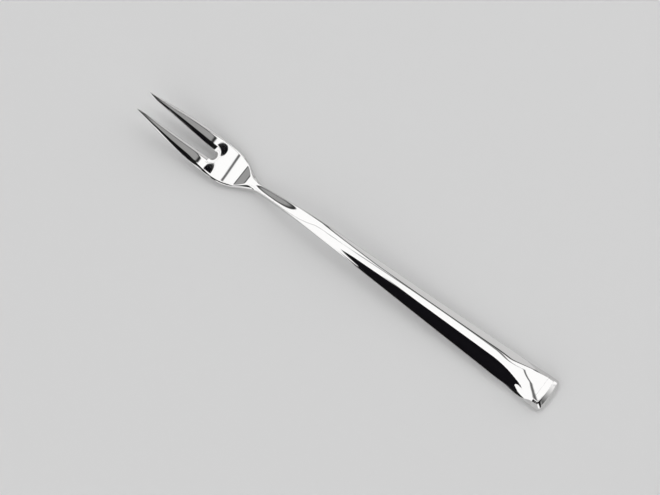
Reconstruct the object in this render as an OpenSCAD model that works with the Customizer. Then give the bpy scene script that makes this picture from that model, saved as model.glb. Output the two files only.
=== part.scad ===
// Two-tined meat fork: a forged head with a tang, and a hollow handle of two pressed half shells.
// X runs along the fork from the tine tips to the handle end, Z is up, and the fork lies on Z = 0.

/* [Tines] */
// Length of the slot between the tines, from the tips to its round bottom
tine_len = 35.4; // [28:0.1:44]
// Distance between the two points
tip_spacing = 8.6; // [7:0.1:11]
// Length over which a tine runs out to its point
tip_len = 4; // [2:0.1:7]
// Length over which the underside of a tine runs up to its point
tip_taper = 10; // [5:0.5:16]
// Width that the straight sides of the slot would have at the tips
slot_mouth_w = 7.3; // [5.5:0.1:8.2]
// Width of the slot at its round bottom
slot_w = 3.7; // [2.8:0.1:5]
// Upward slope of the tines against the head, in degrees
tine_angle = 11.3; // [6:0.1:16]
// Half length of the bend between head and tines
bend_half_len = 11; // [7:0.1:12]
// Distance from the slot bottom to the middle of that bend
bend_behind_slot = 3.9; // [2:0.1:4.5]
// Radius of the rounded edges of a tine, as a share of its width
tine_round = 0.36; // [0.25:0.01:0.45]
// Radius of the rounded edge at the slot bottom, as a share of the width of a tine
root_round = 0.28; // [0.2:0.01:0.5]
// Length over which the edge of a tine turns into the edge of the head
root_len = 10; // [6:0.5:14]

/* [Head] */
// Greatest width of the head
head_w = 16.4; // [13:0.1:20]
// Distance from the slot bottom to the widest place of the head
widest_behind_slot = 2.6; // [0.5:0.1:5]
// Distance from the slot bottom to the narrowest place of the neck
head_len = 22.6; // [17:0.1:28]
// Thickness of tines and head
head_thick = 2; // [1.4:0.1:3]
// Radius of the rounded outer edge of the head
palm_round = 1; // [0.6:0.1:2]
// Height of the middle of the head above the table
head_rise = 1.95; // [1.6:0.05:4]
// Distance from the slot bottom to the place where the head turns to the height of the neck
drop_behind_slot = 8.6; // [6:0.1:10]
// Distance from the slot bottom to the step where the head thickens
step_behind_slot = 11.5; // [9:0.1:13]
// Length of that step
step_len = 6.2; // [4:0.1:9]
// Distance from the slot bottom to the place where the section starts to turn round
round_behind_slot = 13; // [10:0.1:13.5]
// Length over which the section turns round
round_len = 9; // [6:0.1:9.5]

/* [Neck] */
// Width of the neck at its narrowest
neck_w = 3.9; // [3:0.1:4.6]
// Thickness of the neck at its narrowest
neck_thick = 3.9; // [3.4:0.1:4.8]
// Distance from the narrowest place of the neck to the handle
neck_len = 8; // [5:0.1:14]
// Distance from the slot bottom to the belly, where the neck lies lowest and starts to climb
belly_behind_slot = 16.6; // [16:0.1:19]

/* [Handle] */
// Length of the handle with its end cap
handle_len = 134; // [110:1:170]
// Width of the handle where it meets the neck
front_w = 4.3; // [4:0.1:6]
// Width of the handle at its end
back_w = 15.2; // [12:0.1:20]
// Extra half width that the flare adds at the end
end_flare = 0.6; // [0:0.1:1.2]
// Length of the flare
flare_len = 40; // [20:1:60]
// Height of the upper half at the end
back_top_h = 3.7; // [3:0.1:4.5]
// Extra height that the top gains towards the end
end_swell = 1; // [0:0.1:1.4]
// Length over which the top gains that height
swell_len = 20; // [12:1:40]
// How far the sides of the top fall below its middle at the end
end_crown = 0.5; // [0:0.1:1]
// How far the arch of the top would run on beyond the side faces that cut it, as a share of its half width
arch_cut = 0.11; // [0:0.01:0.16]
// Depth of the lower half at the end
back_bottom_h = 1.5; // [1.3:0.1:2.5]
// Height of the widest line at the crest of the handle
crest_rise = 6.8; // [5:0.1:10]
// Distance from the neck joint to the crest
crest_from_joint = 19; // [14:0.5:25]
// Length of the handle end that lies on the table
foot_len = 8; // [7:0.5:20]
// Length over which the half-round top turns into a flat one
flatten_len = 23; // [15:1:40]
// Length of the flat end
flat_len = 5; // [3:0.5:10]
// Radius of the upper side edge at the flat end
end_round = 1.9; // [1.2:0.1:2.6]
// Roundness of that edge, 2 is a round and 1 is a chamfer
end_bulge = 1.15; // [1.1:0.05:2]
// Radius of the lower side edge at the flat end
foot_round = 0.5; // [0.3:0.05:0.7]

/* [Shells] */
// Wall of the pressed half shells
shell_wall = 0.7; // [0.5:0.05:0.8]
// Thickness of the cement between tang and shell at the front
tang_fill = 0.25; // [0.2:0.05:0.4]
// Length of the tang
tang_len = 40; // [25:1:70]
// Clearance at each brazed or cemented joint
joint_gap = 0.05; // [0.03:0.01:0.08]

/* [End cap] */
// Length of the end cap
cap_len = 5; // [4:0.1:6.5]
// How far the top edge of the end stands back from its foot
end_lean = 2.4; // [0.5:0.1:3]
// Height of the slope over which it stands back
bevel_h = 2.6; // [1.5:0.1:3.4]
// How far the sides of the end stand back from its middle
end_bow = 0.65; // [0:0.05:1]
// Radius of the upright corners of the end
corner_r = 1.1; // [0.8:0.1:2]
// Length of the plug inside the shells
plug_len = 4; // [2:0.5:8]

/* [Hidden] */

// Places along the fork, from the tine tips
slot_arc_x = tine_len - slot_w / 2;
widest_x = tine_len + widest_behind_slot;
neck_x = tine_len + head_len;
joint_x = neck_x + neck_len;
bend_x = tine_len + bend_behind_slot;
drop_x = tine_len + drop_behind_slot;
step_x = tine_len + step_behind_slot;
round_x = tine_len + round_behind_slot;
belly_x = tine_len + belly_behind_slot;
crest_x = joint_x + crest_from_joint;
tang_end_x = joint_x + tang_len;
total_len = joint_x + handle_len;
cap_x = total_len - cap_len;
plug_x = cap_x - plug_len;
flat_x = total_len - flat_len;
rest_x = total_len - foot_len;

// The shoulder of the head falls late, as a quarter round that runs into the neck
shoulder_skew = 1.38;
// The neck starts to climb quickly
climb_skew = 0.85;
// The handle falls from its crest early, and comes down to the table slowly
fall_skew = 0.8;
// The slope at the end turns upright towards its foot, 1 would be straight
bevel_curve = 1.5;
// Roundness of a half-round section
round_bulge = 2;

// Numbers of facets
across_head = 10;
across_handle = 16;
tine_steps = 12;
arc_steps = 4;
widest_steps = 3;
palm_steps = 16;
neck_steps = 5;
handle_steps = 40;
cap_steps = 3;
corner_steps = 5;
end_steps = 5;
// Share of the end face that its last ring leaves flat
end_core = 0.02;
// How much closer the rows stand at the tips
tip_crowding = 1.3;

steel = "#c8cbd0";
cement = "#b9b2a4";

function mix(a, b, t) = a + (b - a) * t;
function unit(t) = min(max(t, 0), 1);
function ease(t) = let (s = unit(t)) s * s * (3 - 2 * s);
// A ramp that starts softly over r to both sides of zero
function soft_ramp(s, r) = s <= -r ? 0 : s >= r ? s : pow(s + r, 2) / (4 * r);
// Share of the full height at a distance d inside a rounded edge
function edge_share(d, r, bulge) =
    d >= r ? 1 : d <= 0 ? 0 : pow(1 - pow(1 - d / r, bulge), 1 / bulge);

// Progress along the handle, 0 at the joint and 1 at the end
function handle_share(x) = (x - joint_x) / handle_len;
function flare_share(x) = pow(unit((x - total_len + flare_len) / flare_len), 2);
function swell_share(x) = pow(unit((x - total_len + swell_len) / swell_len), 2);
function top_h(x) =
    mix(neck_thick / 2, back_top_h - end_swell, unit(handle_share(x))) + end_swell * swell_share(x);
function bottom_h(x) = mix(neck_thick / 2, back_bottom_h, unit(handle_share(x)));
function flatness(x) = ease((x - flat_x + flatten_len) / flatten_len);

// Height of the widest line above the table
function point_share(x) = unit(x / tip_taper);
function climb_share(x) = ease(pow(unit((x - belly_x) / (crest_x - belly_x)), climb_skew));
function fall_share(x) = ease(pow(unit((x - crest_x) / (rest_x - crest_x)), fall_skew));
function middle_z(x) =
    x < belly_x
        ? mix(head_rise, neck_thick / 2, ease((x - drop_x) / (belly_x - drop_x)))
            + tan(tine_angle) * soft_ramp(bend_x - x, bend_half_len)
            + head_thick / 2 * (1 - point_share(x))
        : x < crest_x
            ? mix(neck_thick / 2, crest_rise, climb_share(x))
            : bottom_h(x) + (crest_rise - bottom_h(crest_x)) * (1 - fall_share(x));

// Half width of the outline
function half_w(x) =
    x < widest_x
        ? mix(tip_spacing / 2, head_w / 2, 1 - pow(1 - x / widest_x, 2))
        : x < neck_x
            ? mix(head_w / 2, neck_w / 2, ease(pow((x - widest_x) / (neck_x - widest_x), shoulder_skew)))
            : x < joint_x
                ? mix(neck_w / 2, front_w / 2, pow((x - neck_x) / neck_len, 2))
                : mix(front_w / 2, back_w / 2 - end_flare, handle_share(x))
                    + end_flare * flare_share(x);

// Half width of the slot
function slot_side(x) = mix(slot_mouth_w / 2, slot_w / 2, x / slot_arc_x);
function slot_half_w(x) =
    x < tip_len
        ? mix(slot_side(x), tip_spacing / 2, pow(1 - x / tip_len, 2))
        : x < slot_arc_x
            ? slot_side(x)
            : x < tine_len ? sqrt(pow(slot_w / 2, 2) - pow(x - slot_arc_x, 2)) : 0;

// Distance from the edge of the slot
function from_slot(x, y) =
    x < slot_arc_x ? y - slot_half_w(x) : norm([x - slot_arc_x, y]) - slot_w / 2;

// Radii of the rounded edges: along the slot it grows behind the slot bottom, outside it ends half-round
function tine_w(x) = half_w(min(x, tine_len)) - slot_half_w(min(x, slot_arc_x));
function slot_edge(x, y) =
    let (behind = max(x - slot_arc_x, 0) / max(norm([x - slot_arc_x, y]), slot_w / 2))
    tine_w(x) * mix(tine_round, root_round, behind * behind);
function outer_edge(x) =
    let (palm = mix(tine_round * tine_w(x), palm_round, ease((x - tine_len + root_len) / root_len)))
    mix(palm, half_w(x), ease((x - round_x) / round_len));

// Half thickness of head and neck at a point of the plan
function head_half_h(x) =
    mix(head_thick / 2, neck_thick / 2, ease((x - step_x) / step_len)) * point_share(x);
function head_h(x, y) =
    head_half_h(x)
        * edge_share(from_slot(x, y), slot_edge(x, y), round_bulge)
        * edge_share(half_w(x) - y, outer_edge(x), round_bulge);

// Fork head: rows of points from the tips back.
// Each half row runs from the slot, or from the middle, out to the edge.
tine_xs = [for (i = [0 : tine_steps]) slot_arc_x * pow(i / tine_steps, tip_crowding)];
arc_xs = [for (i = [1 : arc_steps]) slot_arc_x + slot_w / 2 * sin(90 * i / arc_steps)];
widest_xs = [for (i = [1 : widest_steps]) mix(tine_len, widest_x, i / widest_steps)];
palm_xs = [for (i = [1 : palm_steps]) mix(widest_x, neck_x, i / palm_steps)];
neck_xs = [for (i = [1 : neck_steps]) neck_x + neck_len * i / neck_steps];
head_xs = concat(tine_xs, arc_xs, widest_xs, palm_xs, neck_xs);
slot_row = tine_steps + arc_steps;

// The tang keeps the cement's thickness to the shell at the joint, and follows the handle inside it
tang_half_w = front_w / 2 - shell_wall - tang_fill;
tang_half_h = neck_thick / 2 - shell_wall - tang_fill;
function handle_xs(x0, x1) =
    [for (i = [0 : handle_steps])
        let (x = joint_x + (cap_x - joint_x) * i / handle_steps)
        if (x > x0 + joint_gap && x < x1 - joint_gap) x];
tang_xs = concat([joint_x], handle_xs(joint_x, tang_end_x), [tang_end_x]);

function out_share(j) = (1 - cos(180 * j / across_head)) / 2;
function head_row(x, side, face) =
    [for (j = [0 : across_head])
        let (y = mix(slot_half_w(x), half_w(x), out_share(j)))
        [x - total_len / 2, side * y, middle_z(x) + face * head_h(x, y)]];
function tang_row(x, side, face) =
    [for (j = [0 : across_head])
        let (t = out_share(j), h = tang_half_h * sqrt(1 - t * t))
        [x - total_len / 2, side * tang_half_w * t, middle_z(x) + face * h]];

head_rows = len(head_xs) + len(tang_xs);
row_len = across_head + 1;
function head_points(side, face) =
    concat([for (x = head_xs) each head_row(x, side, face)],
           [for (x = tang_xs) each tang_row(x, side, face)]);

// Number of a point: top and bottom share the edges, both halves the middle line, a whole row its tip
function head_point(side, face, row, j) =
    let (at_tip = row == 0,
         column = at_tip ? 0 : j,
         on_edge = at_tip || column == across_head || (column == 0 && row <= slot_row),
         on_middle = column == 0 && row >= slot_row,
         block = (on_middle ? 0 : side) * 2 + (on_edge ? 0 : face))
    (block * head_rows + row) * row_len + column;

function quad(a, b, c, d, flip) =
    let (corners = flip ? [d, c, b, a] : [a, b, c, d])
    [for (t = [[0, 1, 2], [0, 2, 3]])
        let (f = [corners[t[0]], corners[t[1]], corners[t[2]]])
        if (f[0] != f[1] && f[1] != f[2] && f[2] != f[0]) f];

function head_faces() =
    concat(
        [for (side = [0, 1], face = [0, 1], i = [0 : head_rows - 2], j = [0 : across_head - 1])
            each quad(head_point(side, face, i, j), head_point(side, face, i, j + 1),
                      head_point(side, face, i + 1, j + 1), head_point(side, face, i + 1, j), side != face)],
        [for (side = [0, 1], j = [0 : across_head - 1])
            let (last = head_rows - 1)
            each quad(head_point(side, 0, last, j), head_point(side, 0, last, j + 1),
                      head_point(side, 1, last, j + 1), head_point(side, 1, last, j), side == 1)]);

module fork_head()
    color(steel)
        polyhedron(
            points = concat(head_points(1, 1), head_points(1, -1),
                            head_points(-1, 1), head_points(-1, -1)),
            faces = head_faces());

// Handle sections: a half section runs from one side over the top, or under the bottom, to the other side.
// inset is the distance inside the outer skin.
function side_share(k) = cos(180 * k / across_handle);
function top_edge(x) = mix(half_w(x), end_round, flatness(x));
function top_bulge(x) = mix(round_bulge, end_bulge, flatness(x));
function bottom_edge(x) = mix(half_w(x), foot_round, flatness(x));
function arch_beyond(x) = arch_cut * ease((x - joint_x) / crest_from_joint);
// beyond is the share by which the arch is wider than the handle, so that it ends on upright side faces
function skin_h(h, half, edge, bulge, inset, beyond, k) =
    let (inner = half - inset,
         r = min(max(edge - inset, foot_round), inner),
         more = k > 0 && k < across_handle ? beyond * r : 0)
    (h - inset) * edge_share(inner * (1 - abs(side_share(k))) + more, r + more, bulge);
function top_skin_h(x, half, inset, k) =
    let (h = top_h(x) - end_crown * flatness(x) * pow(side_share(k), 2))
    skin_h(h, half, top_edge(x), top_bulge(x), inset, arch_beyond(x), k);
function bottom_skin_h(x, half, inset, k) =
    skin_h(bottom_h(x), half, bottom_edge(x), round_bulge, inset, 0, k);
// face is 1 for the upper half and -1 for the lower one, lift keeps the half off the widest line
function skin_point(x, inset, half, lift, face, k) =
    let (h = face > 0 ? top_skin_h(x, half, inset, k) : bottom_skin_h(x, half, inset, k))
    [x - total_len / 2, (half - inset) * side_share(k), middle_z(x) + face * max(lift, h)];
function arc(x, inset, half, lift, face) =
    [for (k = [0 : across_handle]) skin_point(x, inset, half, lift, face, k)];

function backwards(list) = [for (i = [len(list) - 1 : -1 : 0]) list[i]];
function inner_ends(list) = [for (i = [1 : len(list) - 2]) list[i]];
// A closed section, inset from the outer skin
function closed(top, bottom) = concat(top, backwards(inner_ends(bottom)));
function full_ring(x, inset, half) = closed(arc(x, inset, half, 0, 1), arc(x, inset, half, 0, -1));

// A solid through a row of rings with equal even numbers of points, closed at both ends by strips
function end_strip(n, first, flip) =
    [for (k = [0 : n / 2 - 2])
        each quad(first + k, first + k + 1, first + n - 2 - k, first + n - 1 - k, flip)];

module loft(rings) {
    n = len(rings[0]);
    last = len(rings) - 1;
    polyhedron(
        points = [for (ring = rings) each ring],
        faces = concat(
            end_strip(n, 0, false),
            [for (i = [0 : last - 1], k = [0 : n - 1])
                let (a = i * n + k, b = i * n + (k + 1) % n)
                each [[a, a + n, b], [b, a + n, b + n]]],
            end_strip(n, last * n, true)));
}

shell_xs = concat([joint_x + joint_gap], handle_xs(joint_x, cap_x), [cap_x - joint_gap]);

module handle_top_shell()
    color(steel)
        loft([for (x = shell_xs)
            concat(arc(x, 0, half_w(x), joint_gap / 2, 1),
                   backwards(arc(x, shell_wall, half_w(x), joint_gap / 2, 1)))]);

module handle_bottom_shell()
    color(steel)
        loft([for (x = shell_xs)
            concat(backwards(arc(x, 0, half_w(x), joint_gap / 2, -1)),
                   arc(x, shell_wall, half_w(x), joint_gap / 2, -1))]);

// The cement fills the shells up to the plug, with a pocket that the tang leaves
fill_xs = concat([joint_x + joint_gap], handle_xs(joint_x, plug_x), [plug_x - joint_gap]);
pocket_xs = concat([joint_x + joint_gap], handle_xs(joint_x, tang_end_x), [tang_end_x + joint_gap]);
function pocket_ring(x) =
    let (half = tang_half_w + joint_gap, h = tang_half_h + joint_gap)
    [for (k = [0 : 2 * across_handle - 1])
        let (a = 180 * k / across_handle)
        [x - total_len / 2, half * cos(a), middle_z(x) + h * sin(a)]];

module handle_filler()
    color(cement)
        loft(concat(
            [for (x = backwards(fill_xs)) full_ring(x, shell_wall + joint_gap, half_w(x))],
            [for (x = pocket_xs) pocket_ring(x)]));

// The cap's end leans: its top edge stands back from its foot, its sides from its middle
end_top_z = back_bottom_h + top_h(total_len - end_lean);
function end_place(y, z) =
    let (up = unit((z - end_top_z + bevel_h) / bevel_h))
    total_len - end_lean * pow(up, bevel_curve) - end_bow * pow(2 * y / back_w, 2);

// A point of the cap at a share of the way to the end face, on the skin where it comes to stand
function cap_point(share, half, face, k) =
    let (p = skin_point(mix(cap_x, total_len - end_lean, share), 0, half, 0, face, k),
         x = mix(cap_x, end_place(p[1], p[2]), share))
    skin_point(x, 0, half, 0, face, k);
function cap_arc(share, half, face) =
    [for (k = [0 : across_handle]) cap_point(share, half, face, k)];
function cap_ring(share, half) = closed(cap_arc(share, half, 1), cap_arc(share, half, -1));

// The upright corners of the cap are round
function corner_half_w(from_end) =
    half_w(cap_x) - corner_r + sqrt(pow(corner_r, 2) - pow(max(corner_r - from_end, 0), 2));
cap_places = concat(
    [for (i = [0 : cap_steps]) (cap_len - corner_r) * i / cap_steps],
    [for (i = [1 : corner_steps]) cap_len - corner_r + corner_r * sin(90 * i / corner_steps)]);

// The end face closes in rings that shrink to its middle
end_rim = cap_ring(1, corner_half_w(0));
function end_ring(share) =
    [for (p = end_rim)
        let (y = p[1] * share, z = mix(back_bottom_h, p[2], share))
        [end_place(y, z) - total_len / 2, y, z]];

module end_cap()
    color(steel)
        loft(backwards(concat(
            [for (x = [plug_x, cap_x]) full_ring(x, shell_wall + joint_gap, half_w(x))],
            [for (place = cap_places) cap_ring(place / cap_len, corner_half_w(cap_len - place))],
            [for (i = [1 : end_steps]) end_ring(mix(1, end_core, i / end_steps))])));

fork_head();
handle_top_shell();
handle_bottom_shell();
handle_filler();
end_cap();
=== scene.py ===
import math
from types import SimpleNamespace

import bpy
import numpy as np
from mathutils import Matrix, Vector


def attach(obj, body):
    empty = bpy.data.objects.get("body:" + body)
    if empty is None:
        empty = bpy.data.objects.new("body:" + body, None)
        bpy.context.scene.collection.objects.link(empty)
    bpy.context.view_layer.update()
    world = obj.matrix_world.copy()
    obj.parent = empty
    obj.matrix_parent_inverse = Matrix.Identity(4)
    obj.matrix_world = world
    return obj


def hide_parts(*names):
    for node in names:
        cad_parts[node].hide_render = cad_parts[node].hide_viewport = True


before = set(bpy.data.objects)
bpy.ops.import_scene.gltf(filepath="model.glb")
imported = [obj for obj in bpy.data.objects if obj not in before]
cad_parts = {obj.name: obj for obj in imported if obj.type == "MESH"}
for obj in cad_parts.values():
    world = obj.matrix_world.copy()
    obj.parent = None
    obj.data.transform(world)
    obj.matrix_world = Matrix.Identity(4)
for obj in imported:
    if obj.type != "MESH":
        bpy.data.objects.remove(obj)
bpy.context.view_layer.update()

MM = 0.001

# Sizes in millimetres, with the names that the part's source gives them
size = SimpleNamespace(
    # Tines
    tine_len=35.4,
    tip_spacing=8.6,
    tip_len=4.0,
    tip_taper=10.0,
    slot_mouth_w=7.3,
    slot_w=3.7,
    tine_angle=math.radians(11.3),
    bend_half_len=11.0,
    bend_behind_slot=3.9,
    tine_round=0.36,
    root_round=0.28,
    root_len=10.0,
    # Head
    head_w=16.4,
    widest_behind_slot=2.6,
    head_len=22.6,
    head_thick=2.0,
    head_rise=1.95,
    palm_round=1.0,
    drop_behind_slot=8.6,
    step_behind_slot=11.5,
    step_len=6.2,
    round_behind_slot=13.0,
    round_len=9.0,
    shoulder_skew=1.38,
    # Neck and tang
    neck_w=3.9,
    neck_thick=3.9,
    neck_len=8.0,
    belly_behind_slot=16.6,
    climb_skew=0.85,
    tang_fill=0.25,
    tang_len=40.0,
    # Handle
    handle_len=134.0,
    front_w=4.3,
    back_w=15.2,
    end_flare=0.6,
    flare_len=40.0,
    swell_len=20.0,
    back_top_h=3.7,
    end_swell=1.0,
    end_crown=0.5,
    arch_cut=0.11,
    back_bottom_h=1.5,
    crest_rise=6.8,
    crest_from_joint=19.0,
    foot_len=8.0,
    fall_skew=0.8,
    flatten_len=23.0,
    flat_len=5.0,
    end_round=1.9,
    end_bulge=1.15,
    foot_round=0.5,
    round_bulge=2.0,
    shell_wall=0.7,
    joint_gap=0.05,
    # End cap
    cap_len=5.0,
    end_lean=2.4,
    bevel_h=2.6,
    bevel_curve=1.5,
    end_bow=0.65,
    corner_r=1.1,
    plug_len=4.0,
)

# Places along the fork, in millimetres from the tine tips
size.slot_arc_x = size.tine_len - size.slot_w / 2
size.widest_x = size.tine_len + size.widest_behind_slot
size.bend_x = size.tine_len + size.bend_behind_slot
size.drop_x = size.tine_len + size.drop_behind_slot
size.step_x = size.tine_len + size.step_behind_slot
size.round_x = size.tine_len + size.round_behind_slot
size.belly_x = size.tine_len + size.belly_behind_slot
size.neck_x = size.tine_len + size.head_len
size.joint_x = size.neck_x + size.neck_len
size.crest_x = size.joint_x + size.crest_from_joint
size.tang_end_x = size.joint_x + size.tang_len
size.total_len = size.joint_x + size.handle_len
size.rest_x = size.total_len - size.foot_len
size.flat_x = size.total_len - size.flat_len
size.cap_x = size.total_len - size.cap_len
size.plug_x = size.cap_x - size.plug_len


class Flow:
    """A number that runs through a node tree, so that a formula reads as it does for plain numbers."""

    def __init__(self, tree, socket):
        self.tree = tree
        self.socket = socket

    def math(self, operation, *others, turned=False):
        node = self.tree.nodes.new("ShaderNodeMath")
        node.operation = operation
        terms = [self, *others]
        if turned:
            terms.reverse()
        for entry, term in zip(node.inputs, terms):
            if isinstance(term, Flow):
                self.tree.links.new(term.socket, entry)
            else:
                entry.default_value = float(term)
        return Flow(self.tree, node.outputs[0])

    def __add__(self, other):
        return self.math("ADD", other)

    __radd__ = __add__

    def __mul__(self, other):
        return self.math("MULTIPLY", other)

    __rmul__ = __mul__

    def __sub__(self, other):
        return self.math("SUBTRACT", other)

    def __rsub__(self, other):
        return self.math("SUBTRACT", other, turned=True)

    def __truediv__(self, other):
        return self.math("DIVIDE", other)

    def __rtruediv__(self, other):
        return self.math("DIVIDE", other, turned=True)

    def __pow__(self, other):
        return self.math("POWER", other)

    def __abs__(self):
        return self.math("ABSOLUTE")


def least(a, b):
    return a.math("MINIMUM", b) if isinstance(a, Flow) else np.minimum(a, b)


def most(a, b):
    return a.math("MAXIMUM", b) if isinstance(a, Flow) else np.maximum(a, b)


def below(a, b):
    return a.math("LESS_THAN", b) if isinstance(a, Flow) else np.less(a, b) * 1.0


def cosine(a):
    return a.math("COSINE") if isinstance(a, Flow) else np.cos(a)


def unit(t):
    return least(most(t, 0.0), 1.0)


def ease(t):
    s = unit(t)
    return s * s * (3.0 - 2.0 * s)


def mix(a, b, t):
    return a + (b - a) * t


def edge_share(d, r, bulge):
    """Share of the full height at a distance d inside a rounded edge."""
    return (1.0 - (1.0 - unit(d / r)) ** bulge) ** (1.0 / bulge)


# Shape of the handle

# Beyond this share of the half width, a point counts as lying on the widest line
ON_RIM = 0.9999


def handle_share(s, x):
    return (x - s.joint_x) / s.handle_len


def flare_share(s, x):
    return unit((x - s.total_len + s.flare_len) / s.flare_len) ** 2.0


def top_height(s, x):
    plain = mix(s.neck_thick / 2.0, s.back_top_h - s.end_swell, unit(handle_share(s, x)))
    return plain + s.end_swell * unit((x - s.total_len + s.swell_len) / s.swell_len) ** 2.0


def bottom_depth(s, x):
    return mix(s.neck_thick / 2.0, s.back_bottom_h, unit(handle_share(s, x)))


def flatness(s, x):
    return ease((x - s.flat_x + s.flatten_len) / s.flatten_len)


def handle_half_w(s, x):
    straight = mix(s.front_w / 2.0, s.back_w / 2.0 - s.end_flare, handle_share(s, x))
    return straight + s.end_flare * flare_share(s, x)


def handle_middle_z(s, x):
    """Height of the widest line: up from the neck to the crest, then down to the table."""
    rise = ease(unit((x - s.belly_x) / (s.crest_x - s.belly_x)) ** s.climb_skew)
    climb = mix(s.neck_thick / 2.0, s.crest_rise, rise)
    fall = ease(unit((x - s.crest_x) / (s.rest_x - s.crest_x)) ** s.fall_skew)
    descent = bottom_depth(s, x) + (s.crest_rise - bottom_depth(s, s.crest_x)) * (1.0 - fall)
    return mix(descent, climb, below(x, s.crest_x))


def skin_height(s, height, half, edge, bulge, inset, side, cut):
    """Height of a half section. A cut arch is wider than the handle, and ends on an upright side face."""
    inner = half - inset
    radius = least(most(edge - inset, s.foot_round), inner)
    beyond = cut * radius * below(abs(side), ON_RIM)
    return (height - inset) * edge_share(inner * (1.0 - abs(side)) + beyond, radius + beyond, bulge)


def top_skin(s, x, half, inset, side):
    flat = flatness(s, x)
    edge = mix(half, s.end_round, flat)
    bulge = mix(s.round_bulge, s.end_bulge, flat)
    height = top_height(s, x) - s.end_crown * flat * side * side
    cut = s.arch_cut * ease((x - s.joint_x) / (s.crest_x - s.joint_x))
    return skin_height(s, height, half, edge, bulge, inset, side, cut)


def bottom_skin(s, x, half, inset, side):
    edge = mix(half, s.foot_round, flatness(s, x))
    return skin_height(s, bottom_depth(s, x), half, edge, s.round_bulge, inset, side, 0.0)


# Shape of the head


def point_share(s, x):
    """Share of its thickness that a tine has, as its underside runs up to the point."""
    return unit(x / s.tip_taper)


def head_middle_z(s, x):
    drop = mix(s.head_rise, s.neck_thick / 2.0, ease((x - s.drop_x) / (s.belly_x - s.drop_x)))
    back = s.bend_x - x
    soft = (back + s.bend_half_len) ** 2 / (4 * s.bend_half_len)
    ramp = np.where(back <= -s.bend_half_len, 0.0, np.where(back >= s.bend_half_len, back, soft))
    before_neck = drop + math.tan(s.tine_angle) * ramp + s.head_thick / 2 * (1 - point_share(s, x))
    return np.where(x < s.belly_x, before_neck, handle_middle_z(s, x))


def head_half_w(s, x):
    tines = mix(s.tip_spacing / 2, s.head_w / 2, 1 - (1 - x / s.widest_x) ** 2)
    fall = unit((x - s.widest_x) / (s.neck_x - s.widest_x)) ** s.shoulder_skew
    shoulder = mix(s.head_w / 2, s.neck_w / 2, ease(fall))
    neck = mix(s.neck_w / 2, s.front_w / 2, ((x - s.neck_x) / s.neck_len) ** 2)
    return np.where(x < s.widest_x, tines, np.where(x < s.neck_x, shoulder, neck))


def slot_half_w(s, x):
    straight = mix(s.slot_mouth_w / 2, s.slot_w / 2, x / s.slot_arc_x)
    point = mix(straight, s.tip_spacing / 2, (1 - unit(x / s.tip_len)) ** 2)
    arc = np.sqrt(most((s.slot_w / 2) ** 2 - most(x - s.slot_arc_x, 0.0) ** 2, 0.0))
    return np.where(x < s.slot_arc_x, point, np.where(x < s.tine_len, arc, 0.0))


def head_skin(s, x, y):
    """Half thickness of the head at a point of its plan."""
    beside = y - slot_half_w(s, x)
    behind = np.hypot(x - s.slot_arc_x, y) - s.slot_w / 2
    from_slot = np.where(x < s.slot_arc_x, beside, behind)
    half = head_half_w(s, x)
    tine_w = head_half_w(s, least(x, s.tine_len)) - slot_half_w(s, least(x, s.slot_arc_x))
    straight_back = most(x - s.slot_arc_x, 0.0) / most(behind + s.slot_w / 2, s.slot_w / 2)
    root = tine_w * mix(s.tine_round, s.root_round, straight_back**2)
    palm = mix(s.tine_round * tine_w, s.palm_round, ease((x - s.tine_len + s.root_len) / s.root_len))
    edge = mix(palm, half, ease((x - s.round_x) / s.round_len))
    plain = mix(s.head_thick / 2, s.neck_thick / 2, ease((x - s.step_x) / s.step_len))
    inner = edge_share(most(from_slot, 0.0), root, s.round_bulge)
    outer = edge_share(most(half - y, 0.0), edge, s.round_bulge)
    return plain * point_share(s, x) * inner * outer


# Materials

STEEL_COLOUR = (0.72, 0.715, 0.71, 1.0)
CEMENT_DARK = (0.40, 0.37, 0.31, 1.0)
CEMENT_PALE = (0.58, 0.54, 0.47, 1.0)
FLOOR_COLOUR = (0.80, 0.80, 0.80, 1.0)
CARD_COLOUR = (0.012, 0.011, 0.014, 1.0)
# Hairlines to the metre, along the fork and across it
HAIRLINES = (60.0, 2600.0, 2600.0)


def new_material(name):
    material = bpy.data.materials.new(name)
    material.use_nodes = True
    return material, material.node_tree, material.node_tree.nodes["Principled BSDF"]


def matt(name, colour, roughness):
    """A plain dull finish for the stage."""
    material, _, shader = new_material(name)
    shader.inputs["Base Color"].default_value = colour
    shader.inputs["Roughness"].default_value = roughness
    shader.inputs["Specular IOR Level"].default_value = 0.0
    return material


def add_node(tree, kind, **values):
    node = tree.nodes.new(kind)
    for name, value in values.items():
        if name in node.inputs:
            node.inputs[name].default_value = value
        else:
            setattr(node, name, value)
    return node


def patches(noise, start, span):
    """How strongly a noise shows, from nothing at start to full at start plus span."""
    return ease((noise - start) / span)


def polished_steel():
    """Mirror polish with faint lengthwise hairlines and soft wiping marks."""
    material, tree, shader = new_material("polished_steel")
    shader.inputs["Metallic"].default_value = 1.0
    shader.inputs["Base Color"].default_value = STEEL_COLOUR
    place = add_node(tree, "ShaderNodeTexCoord")
    along = add_node(tree, "ShaderNodeMapping", Scale=HAIRLINES)
    hairlines = add_node(tree, "ShaderNodeTexNoise", Scale=1.0, Detail=3.0, Roughness=0.6)
    wiping = add_node(tree, "ShaderNodeTexNoise", Scale=160.0, Detail=2.0, Roughness=0.5)
    link = tree.links.new
    link(place.outputs["Object"], along.inputs["Vector"])
    link(along.outputs["Vector"], hairlines.inputs["Vector"])
    link(place.outputs["Object"], wiping.inputs["Vector"])
    lines = Flow(tree, hairlines.outputs["Fac"])
    marks = Flow(tree, wiping.outputs["Fac"])
    mirror = 0.012
    wiped = 0.012
    lined = 0.008
    smears = wiped * patches(marks, start=0.35, span=0.4)
    scratches = lined * patches(lines, start=0.45, span=0.3)
    link((mirror + smears + scratches).socket, shader.inputs["Roughness"])
    return material


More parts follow.
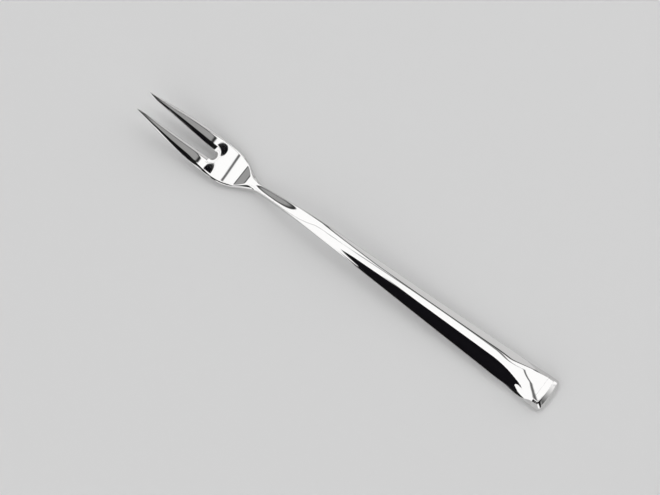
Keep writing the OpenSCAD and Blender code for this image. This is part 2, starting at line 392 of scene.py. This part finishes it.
def filling_cement():
    material, tree, shader = new_material("filling_cement")
    shader.inputs["Roughness"].default_value = 0.9
    place = add_node(tree, "ShaderNodeTexCoord")
    grain = add_node(tree, "ShaderNodeTexNoise", Scale=900.0, Detail=4.0, Roughness=0.65)
    shade = add_node(tree, "ShaderNodeValToRGB")
    shade.color_ramp.elements[0].color = CEMENT_DARK
    shade.color_ramp.elements[1].color = CEMENT_PALE
    link = tree.links.new
    link(place.outputs["Object"], grain.inputs["Vector"])
    link(grain.outputs["Fac"], shade.inputs["Fac"])
    link(shade.outputs["Color"], shader.inputs["Base Color"])
    return material


steel = polished_steel()
cement = filling_cement()


# Making of the pieces

SHARP = math.radians(38.0)


def put_in_scene(name, mesh):
    thing = bpy.data.objects.new(name, mesh)
    bpy.context.scene.collection.objects.link(thing)
    return thing


def finish_piece(name, mesh):
    """The finished piece, shaded smooth between its real edges."""
    mesh.shade_smooth()
    mesh.set_sharp_from_angle(angle=SHARP)
    return put_in_scene(name, mesh)


def grow(name, tree):
    """Runs a tree with this fork's sizes and keeps the result as a plain mesh."""
    seed = put_in_scene(name + "_seed", bpy.data.meshes.new(name + "_seed"))
    modifier = seed.modifiers.new("shape", "NODES")
    modifier.node_group = tree
    for socket in tree.interface.items_tree:
        if socket.in_out == "INPUT":
            modifier[socket.identifier] = float(getattr(size, socket.name))
    graph = bpy.context.evaluated_depsgraph_get()
    mesh = bpy.data.meshes.new_from_object(seed.evaluated_get(graph), depsgraph=graph)
    seed.modifiers.remove(modifier)
    bpy.data.objects.remove(seed)
    mesh.name = name
    return finish_piece(name, mesh)


def build(name, points, faces):
    """A steel piece from points in millimetres."""
    mesh = bpy.data.meshes.new(name)
    mesh.from_pydata((np.asarray(points) * MM).tolist(), [], faces)
    mesh.materials.append(steel)
    mesh.validate()
    return finish_piece(name, mesh)


# Handle shells, by Geometry Nodes: one closed skin, out over the outside and back along the inside

SHELL_SIZES = (
    "joint_x", "belly_x", "crest_x", "rest_x", "flat_x", "total_len", "cap_x", "handle_len",
    "front_w", "back_w", "end_flare", "flare_len", "swell_len", "end_crown", "arch_cut", "neck_thick",
    "back_top_h", "end_swell", "back_bottom_h", "crest_rise", "climb_skew", "fall_skew", "flatten_len",
    "end_round", "end_bulge", "foot_round", "round_bulge", "shell_wall", "joint_gap",
)
SHELL_ROWS = 170
SHELL_ARC = 56
# The plain grid reaches this far either way, before it is bent into a shell
GRID_HALF = 0.5
HALF_STEP = 0.5
WELD = 1e-7


def shell_tree(name, skin, face):
    """A half shell between the neck joint and the end cap. face is 1 for the top and -1 for the bottom."""
    tree = bpy.data.node_groups.new(name, "GeometryNodeTree")
    tree.interface.new_socket("Geometry", in_out="OUTPUT", socket_type="NodeSocketGeometry")
    for entry in SHELL_SIZES:
        tree.interface.new_socket(entry, in_out="INPUT", socket_type="NodeSocketFloat")
    inlet = tree.nodes.new("NodeGroupInput")
    outlet = tree.nodes.new("NodeGroupOutput")
    s = SimpleNamespace(**{entry: Flow(tree, inlet.outputs[entry]) for entry in SHELL_SIZES})

    # The first and last rows close the ends. Columns run over the outer arc, back by the inner one and shut
    last_row = SHELL_ROWS + 2
    first_inside = SHELL_ARC + 1
    last_column = 2 * SHELL_ARC + 2
    sheet = add_node(tree, "GeometryNodeMeshGrid")
    sheet.inputs["Vertices X"].default_value = last_row + 1
    sheet.inputs["Vertices Y"].default_value = last_column + 1
    spot = add_node(tree, "ShaderNodeSeparateXYZ")
    tree.links.new(tree.nodes.new("GeometryNodeInputPosition").outputs[0], spot.inputs[0])
    row = ((Flow(tree, spot.outputs["X"]) + GRID_HALF) * last_row).math("ROUND")
    column = ((Flow(tree, spot.outputs["Y"]) + GRID_HALF) * last_column).math("ROUND")

    closing = most(below(row, HALF_STEP), 1.0 - below(row, last_row - HALF_STEP))
    open_seam = below(column, last_column - HALF_STEP)
    inside = (1.0 - below(column, first_inside - HALF_STEP)) * open_seam
    back = last_column - 1.0 - column
    step = (least(column, SHELL_ARC) * (1.0 - inside) + back * inside) * open_seam
    inset = most(closing, inside) * s.shell_wall

    first = s.joint_x + s.joint_gap
    last = s.cap_x - s.joint_gap
    x = mix(first, last, unit((row - 1.0) / SHELL_ROWS))
    half = handle_half_w(s, x)
    side = 0.0 - cosine(step * (math.pi / SHELL_ARC))
    lift = most(skin(s, x, half, inset, side), s.joint_gap / 2.0)
    z = handle_middle_z(s, x) + face * lift

    put = add_node(tree, "ShaderNodeCombineXYZ")
    tree.links.new(((x - s.total_len / 2.0) * MM).socket, put.inputs["X"])
    tree.links.new(((half - inset) * side * MM).socket, put.inputs["Y"])
    tree.links.new((z * MM).socket, put.inputs["Z"])
    bend = add_node(tree, "GeometryNodeSetPosition")
    tree.links.new(put.outputs["Vector"], bend.inputs["Position"])
    chain = [sheet, bend]
    if face < 0:
        chain.append(add_node(tree, "GeometryNodeFlipFaces"))
    chain.append(add_node(tree, "GeometryNodeMergeByDistance", Distance=WELD))
    chain.append(add_node(tree, "GeometryNodeRealizeInstances"))
    chain.append(add_node(tree, "GeometryNodeSetMaterial", Material=steel))
    chain.append(outlet)
    for before, after in zip(chain, chain[1:]):
        tree.links.new(before.outputs[0], after.inputs[0])
    return tree


# Head: rows from the tips back, each half row out from the slot or the middle to the edge

HEAD_ACROSS = 30
TINE_ROWS = 110
ARC_ROWS = 24
PALM_ROWS = 110
NECK_ROWS = 39
TANG_ROWS = 40
# Powers above 1 that crowd the rows together at the tips and behind the slot
TINE_CROWDING = 1.4
PALM_CROWDING = 1.7


def row_places(s):
    """Where the rows outside the handle and those of the tang are, and which row ends the slot."""
    tines = s.slot_arc_x * np.linspace(0, 1, TINE_ROWS) ** TINE_CROWDING
    arc = s.slot_arc_x + s.slot_w / 2 * np.sin(np.linspace(0, math.pi / 2, ARC_ROWS + 1)[1:])
    palm = s.tine_len + s.head_len * np.linspace(0, 1, PALM_ROWS + 1)[1:] ** PALM_CROWDING
    neck = np.linspace(s.neck_x, s.joint_x, NECK_ROWS + 1)[1:]
    tang = np.linspace(s.joint_x, s.tang_end_x, TANG_ROWS)
    return np.concatenate([tines, arc, palm, neck]), tang, len(tines) + len(arc) - 1


def head_rows(s, outer, tang):
    """For each row its place, its half row of widths, its middle height and its half thicknesses."""
    share = (1 - np.cos(np.linspace(0, math.pi, HEAD_ACROSS + 1))) / 2
    tang_half_w = s.front_w / 2 - s.shell_wall - s.tang_fill
    tang_half_h = s.neck_thick / 2 - s.shell_wall - s.tang_fill
    rows = []
    for x in outer:
        y = mix(slot_half_w(s, x), head_half_w(s, x), share)
        rows.append((x, y, float(head_middle_z(s, x)), head_skin(s, x, y)))
    for x in tang:
        rows.append((x, tang_half_w * share, handle_middle_z(s, x), tang_half_h * np.sqrt(1 - share**2)))
    return rows


def fork_head():
    s = size
    outer, tang, slot_row = row_places(s)
    rows = head_rows(s, outer, tang)
    end = len(rows) - 1
    points = []
    numbers = {}
    faces = []

    def number(side, face, row, j):
        """Top and bottom share the edges, both halves the middle line, a whole row its tip."""
        j = 0 if row == 0 else j
        edge = row == 0 or j == HEAD_ACROSS or (j == 0 and row <= slot_row)
        middle = j == 0 and row >= slot_row
        key = (0 if middle else side, 0 if edge else face, row, j)
        if key not in numbers:
            x, y, z, h = rows[row]
            numbers[key] = len(points)
            points.append((x - s.total_len / 2, key[0] * y[j], z + key[1] * h[j]))
        return numbers[key]

    def patch(corners, turned):
        ring = list(dict.fromkeys(corners[::-1] if turned else corners))
        if len(ring) > 2:
            faces.append(ring)

    for side in (1, -1):
        for face in (1, -1):
            for i in range(end):
                for j in range(HEAD_ACROSS):
                    near = [number(side, face, i, j), number(side, face, i + 1, j)]
                    far = [number(side, face, i + 1, j + 1), number(side, face, i, j + 1)]
                    patch(near + far, side != face)
        for j in range(HEAD_ACROSS):
            near = [number(side, 1, end, j), number(side, -1, end, j)]
            far = [number(side, -1, end, j + 1), number(side, 1, end, j + 1)]
            patch(near + far, side < 0)
    return build("fork_head_polished", points, faces)


# End cap: rings from the plug to the leaning end

CAP_ARC = 48
CAP_ROWS = 8
CORNER_ROWS = 12
END_RINGS = 14
RING_ANGLE = np.linspace(0.0, 2.0 * math.pi, 2 * CAP_ARC, endpoint=False)


def ring_height(s, x, inset, half):
    side = np.cos(RING_ANGLE)
    top = top_skin(s, x, half, inset, side)
    bottom = bottom_skin(s, x, half, inset, side)
    return handle_middle_z(s, x) + np.where(RING_ANGLE <= math.pi, top, -bottom)


def full_ring(s, x, inset, half):
    y = (half - inset) * np.cos(RING_ANGLE)
    return np.column_stack([np.full(len(y), x), y, ring_height(s, x, inset, half)])


def end_place(s, y, z):
    """Where the end face stands: bowed in plan and rounded over towards the top."""
    top = s.back_bottom_h + top_height(s, s.total_len - s.end_lean)
    up = unit((z - top + s.bevel_h) / s.bevel_h)
    return s.total_len - s.end_lean * up**s.bevel_curve - s.end_bow * (2.0 * y / s.back_w) ** 2


def cap_ring(s, share, half):
    """A ring of the cap, part of the way from the shells to the end face."""
    ring = full_ring(s, mix(s.cap_x, s.total_len - s.end_lean, share), 0.0, half)
    ring[:, 0] = mix(s.cap_x, end_place(s, ring[:, 1], ring[:, 2]), share)
    ring[:, 2] = ring_height(s, ring[:, 0], 0.0, half)
    return ring


def cap_rings(s, end_middle):
    """The plug, the sides with their round corners, then smaller and smaller rings on the end face."""
    back_half = float(handle_half_w(s, s.cap_x))
    tight = s.shell_wall + s.joint_gap
    rings = [full_ring(s, x, tight, float(handle_half_w(s, x))) for x in (s.plug_x, s.cap_x)]
    straight = s.cap_len - s.corner_r
    places = list(np.linspace(0.0, straight, CAP_ROWS))
    places += [straight + s.corner_r * math.sin(a) for a in np.linspace(0, math.pi / 2, CORNER_ROWS + 1)[1:]]
    for place in places:
        near = max(place - straight, 0.0)
        half = back_half - s.corner_r + math.sqrt(max(s.corner_r**2 - near**2, 0.0))
        rings.append(cap_ring(s, place / s.cap_len, half))
    rim = rings[-1]
    for share in np.linspace(1.0, 0.0, END_RINGS)[1:-1]:
        ring = end_middle + (rim - end_middle) * share
        ring[:, 0] = end_place(s, ring[:, 1], ring[:, 2])
        rings.append(ring)
    return rings


def end_cap():
    s = size
    end_middle = np.array([s.total_len, 0.0, s.back_bottom_h])
    rings = cap_rings(s, end_middle)
    count = len(RING_ANGLE)
    points = np.concatenate(rings + [[end_middle]])
    points[:, 0] -= s.total_len / 2
    faces = []
    for i in range(len(rings) - 1):
        for k in range(count):
            a = i * count + k
            b = i * count + (k + 1) % count
            faces.append([a, b, b + count, a + count])
    last = (len(rings) - 1) * count
    faces.append(list(range(count))[::-1])
    faces += [[last + k, last + (k + 1) % count, len(points) - 1] for k in range(count)]
    return build("end_cap_polished", points, faces)


top_half = shell_tree("top_half_shell", top_skin, 1.0)
bottom_half = shell_tree("bottom_half_shell", bottom_skin, -1.0)
pieces = {
    "fork_head": fork_head(),
    "handle_top_shell": grow("handle_top_polished", top_half),
    "handle_bottom_shell": grow("handle_bottom_polished", bottom_half),
    "end_cap": end_cap(),
}
for node, piece in pieces.items():
    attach(piece, "root")
    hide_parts(node)

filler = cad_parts["handle_filler"]
filler.data.materials.clear()
filler.data.materials.append(cement)


# Floor and light, in metres

FLOOR_REACH = 3.0
TENT_R = 2.0
TENT_RINGS = 32
TENT_TURNS = 64
WORLD_COLOUR = (0.5, 0.5, 0.5, 1.0)


def floor():
    corners = [(-1, -1), (1, -1), (1, 1), (-1, 1)]
    mesh = bpy.data.meshes.new("floor")
    mesh.from_pydata([(x * FLOOR_REACH, y * FLOOR_REACH, 0.0) for x, y in corners], [], [[0, 1, 2, 3]])
    mesh.materials.append(matt("pale_floor", FLOOR_COLOUR, roughness=0.95))
    put_in_scene("floor", mesh)


def above(value, edge, soft):
    return ease((value - edge) / soft + 0.5)


def under(value, edge, soft):
    return 1.0 - above(value, edge, soft)


def cloth_light(along, across):
    """How brightly the tent glows, by the place along and across the fork as shares of its radius."""
    white = 1.36
    pale = 0.8
    grey = 0.42
    stitched = 0.2
    dark = 0.05
    black = 0.015

    # White cloth over the table ends on the far side in a dark hem, with pale cloth beyond it
    far_slope = 2.8
    far_middle = 0.46
    far_nearest = 0.54
    far_furthest = 0.94
    far_edge = least(most(far_middle - far_slope * along, far_nearest), far_furthest)
    hem_w = 0.07
    level = mix(pale, dark, under(across, far_edge + hem_w, soft=0.03))
    white_cloth = under(across, far_edge, soft=0.03)
    level = mix(level, white, white_cloth)

    # A seam in the white cloth, steeper over a short middle stretch
    seam_from = -0.134
    seam_to = -0.118
    bend_at = 0.215
    steep_w = 0.1
    near_slope = 0.3
    steep_slope = 0.8
    far_seam_slope = 0.2
    past = across - bend_at
    near_part = near_slope * least(past, 0.0)
    steep_part = steep_slope * least(most(past, 0.0), steep_w)
    far_part = far_seam_slope * most(past - steep_w, 0.0)
    seam_at = along - near_part - steep_part - far_part
    seam = above(seam_at, seam_from, soft=0.008) * under(seam_at, seam_to, soft=0.008)
    level = mix(level, stitched, seam * white_cloth)

    # Dark hems and grey cloth at the left and the right end
    left_edge = -0.507 + 0.1 * across
    left_hem_w = 0.045
    right_edge = 0.062
    right_hem_w = 0.02
    level = mix(level, dark, under(along, left_edge, soft=0.02))
    level = mix(level, grey, under(along, left_edge - left_hem_w, soft=0.05))
    level = mix(level, dark, above(along, right_edge, soft=0.012))
    level = mix(level, grey, above(along, right_edge + right_hem_w, soft=0.012))

    # A dark opening on the near side, and a dark foot of the tent below it
    opening_slope = 0.15
    opening_left = -0.08
    opening_top = 0.13
    foot_top = -0.86
    foot_left = -0.12
    opening_edge = most(opening_slope * least(across, 0.0), opening_left)
    opening = above(along, opening_edge, soft=0.015) * under(across, opening_top, soft=0.015)
    level = mix(level, black, opening)
    foot = under(across, foot_top, soft=0.06) * above(along, foot_left, soft=0.02)
    level = mix(level, black, foot)

    # The right wall, dark in its middle and lit at its far and near ends
    wall_at = 0.14
    wall_slope = 0.2
    wall_bend = -0.2
    wall_edge = wall_at + wall_slope * least(across - wall_bend, 0.0)
    far_lit = patches(across, start=0.06, span=0.32)
    near_lit = patches(0.0 - across, start=0.4, span=0.15)
    wall = mix(black, white, most(far_lit, near_lit))
    return mix(level, wall, above(along, wall_edge, soft=0.06))


def tent_light():
    material = bpy.data.materials.new("tent_light")
    material.use_nodes = True
    tree = material.node_tree
    tree.nodes.clear()
    outlet = add_node(tree, "ShaderNodeOutputMaterial")
    glow = add_node(tree, "ShaderNodeEmission")
    tree.links.new(glow.outputs[0], outlet.inputs["Surface"])
    spot = add_node(tree, "ShaderNodeSeparateXYZ")
    tree.links.new(add_node(tree, "ShaderNodeTexCoord").outputs["Object"], spot.inputs[0])
    along = Flow(tree, spot.outputs["X"]) / TENT_R
    across = Flow(tree, spot.outputs["Y"]) / TENT_R
    tree.links.new(cloth_light(along, across).socket, glow.inputs["Strength"])
    return material


def studio_tent():
    """A dome of lit cloth round the table, which the polish mirrors."""
    points = [(0.0, 0.0, TENT_R)]
    for i in range(1, TENT_RINGS + 1):
        lean = math.pi / 2 * i / TENT_RINGS
        reach = TENT_R * math.sin(lean)
        for k in range(TENT_TURNS):
            turn = 2 * math.pi * k / TENT_TURNS
            points.append((reach * math.cos(turn), reach * math.sin(turn), TENT_R * math.cos(lean)))
    faces = [[0, 1 + (k + 1) % TENT_TURNS, 1 + k] for k in range(TENT_TURNS)]
    for i in range(TENT_RINGS - 1):
        for k in range(TENT_TURNS):
            a = 1 + i * TENT_TURNS + k
            b = 1 + i * TENT_TURNS + (k + 1) % TENT_TURNS
            faces.append([a, b, b + TENT_TURNS, a + TENT_TURNS])
    mesh = bpy.data.meshes.new("light_tent")
    mesh.from_pydata(points, [], faces)
    mesh.materials.append(tent_light())
    tent = put_in_scene("light_tent", mesh)
    tent.visible_camera = False


def studio_world():
    world = bpy.data.worlds.new("studio")
    bpy.context.scene.world = world
    world.use_nodes = True
    world.node_tree.nodes["Background"].inputs["Color"].default_value = WORLD_COLOUR


# Dark cards that hang level over the table and show in the polish, in millimetres

CARD_H = 480.0
ROUND_CARDS = {
    "left_card": SimpleNamespace(x=-49.5, y=113.9, half_x=17.3, half_y=4.4),
    "right_card": SimpleNamespace(x=-54.5, y=98.5, half_x=12.5, half_y=5.8),
}
ROUND_CARD_STEPS = 48
WIDE_CARD = [
    (-100, -980), (-33, -416), (-42, -228), (-17, -94), (0, -41), (14.6, 16), (26, 49), (40, 70), (55, 84),
    (400, 84), (400, -980),
]


def hang_card(name, outline, material):
    points = [(x * MM, y * MM, CARD_H * MM) for x, y in outline]
    mesh = bpy.data.meshes.new(name)
    mesh.from_pydata(points, [], [list(range(len(points)))])
    mesh.materials.append(material)
    card = put_in_scene(name, mesh)
    card.visible_camera = False
    card.visible_diffuse = False
    card.visible_shadow = False


def dark_cards():
    material = matt("dark_card", CARD_COLOUR, roughness=1.0)
    turns = np.linspace(0.0, 2.0 * math.pi, ROUND_CARD_STEPS, endpoint=False)
    for name, card in ROUND_CARDS.items():
        rim = [(card.x + card.half_x * math.cos(a), card.y + card.half_y * math.sin(a)) for a in turns]
        hang_card(name, rim, material)
    hang_card("wide_card", WIDE_CARD, material)


# Camera, with lengths in millimetres

SENSOR_W = 36.0
LENS = 136.36
CAMERA_AIM = Vector((-5.62, -2.06, 0.0))
CAMERA_DISTANCE = 992.4
CAMERA_TURN = math.radians(36.685)
CAMERA_TILT = math.radians(74.0)
VIEW_END = 20000.0


def camera():
    lens = bpy.data.cameras.new("camera")
    lens.sensor_width = SENSOR_W
    lens.lens = LENS
    lens.clip_end = VIEW_END * MM
    eye = put_in_scene("camera", lens)
    level = math.cos(CAMERA_TILT)
    toward = Vector((level * math.sin(CAMERA_TURN), -level * math.cos(CAMERA_TURN), math.sin(CAMERA_TILT)))
    eye.location = (CAMERA_AIM + toward * CAMERA_DISTANCE) * MM
    eye.rotation_euler = (-toward).to_track_quat("-Z", "Y").to_euler()
    bpy.context.scene.camera = eye


floor()
studio_tent()
studio_world()
dark_cards()
camera()
bpy.context.scene.view_settings.view_transform = "Standard"
